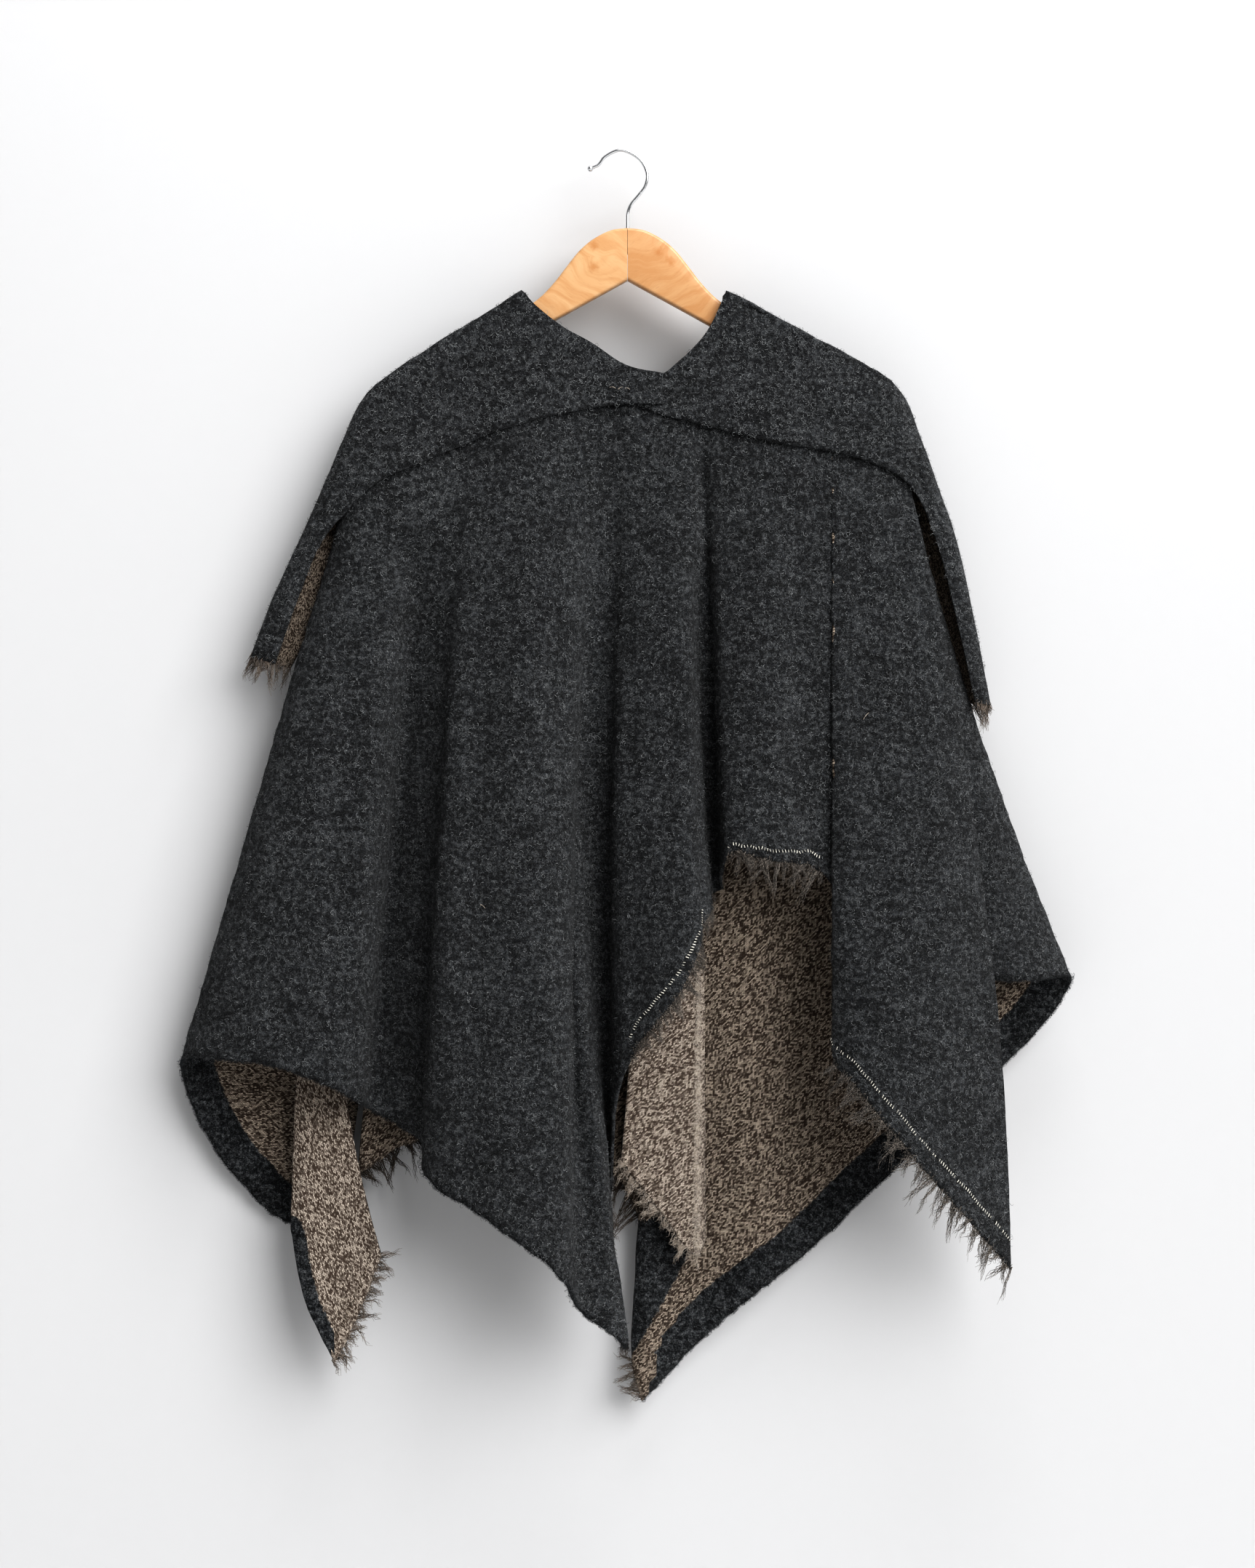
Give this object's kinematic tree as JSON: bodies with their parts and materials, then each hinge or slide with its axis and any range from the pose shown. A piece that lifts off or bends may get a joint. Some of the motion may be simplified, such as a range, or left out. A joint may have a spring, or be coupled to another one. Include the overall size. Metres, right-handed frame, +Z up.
{
  "type": "poncho on hanger",
  "caption": "Charcoal two-faced wool wrap poncho with frayed ends, hanging on a wooden hanger with a wire hook.",
  "frame": {"origin": "inner top of the wire hook, where the hanger is held by a rail or a nail", "axes": "+X to the viewer's right, +Z up, the front of the poncho faces -Y"},
  "size_m": [0.7597, 0.13, 1.0788],
  "materials": {
    "wool": "two-faced charcoal boucle, brown weave inside",
    "frayed_wool": "frayed taupe yarn",
    "wood": "clear varnish",
    "chrome": "polished"
  },
  "bodies": {
    "root": {"hanger_hook": "chrome", "hanger_arm_left": "wood", "hanger_arm_right": "wood", "front_cloth": "wool", "back_cloth": "wool", "back_cloth_tail": "wool", "back_cloth_pleat": "wool", "shoulder_cloth_left": "wool", "shoulder_cloth_right": "wool", "fringe_front_right": "frayed_wool", "fringe_front_middle": "frayed_wool", "fringe_front_panel": "frayed_wool", "fringe_front_corner": "frayed_wool", "fringe_back_end": "frayed_wool", "fringe_back_corner": "frayed_wool", "fringe_back_pleat": "frayed_wool", "fringe_tail": "frayed_wool", "fringe_shoulder_left": "frayed_wool", "fringe_shoulder_right": "frayed_wool"}
  },
  "joints": []
}
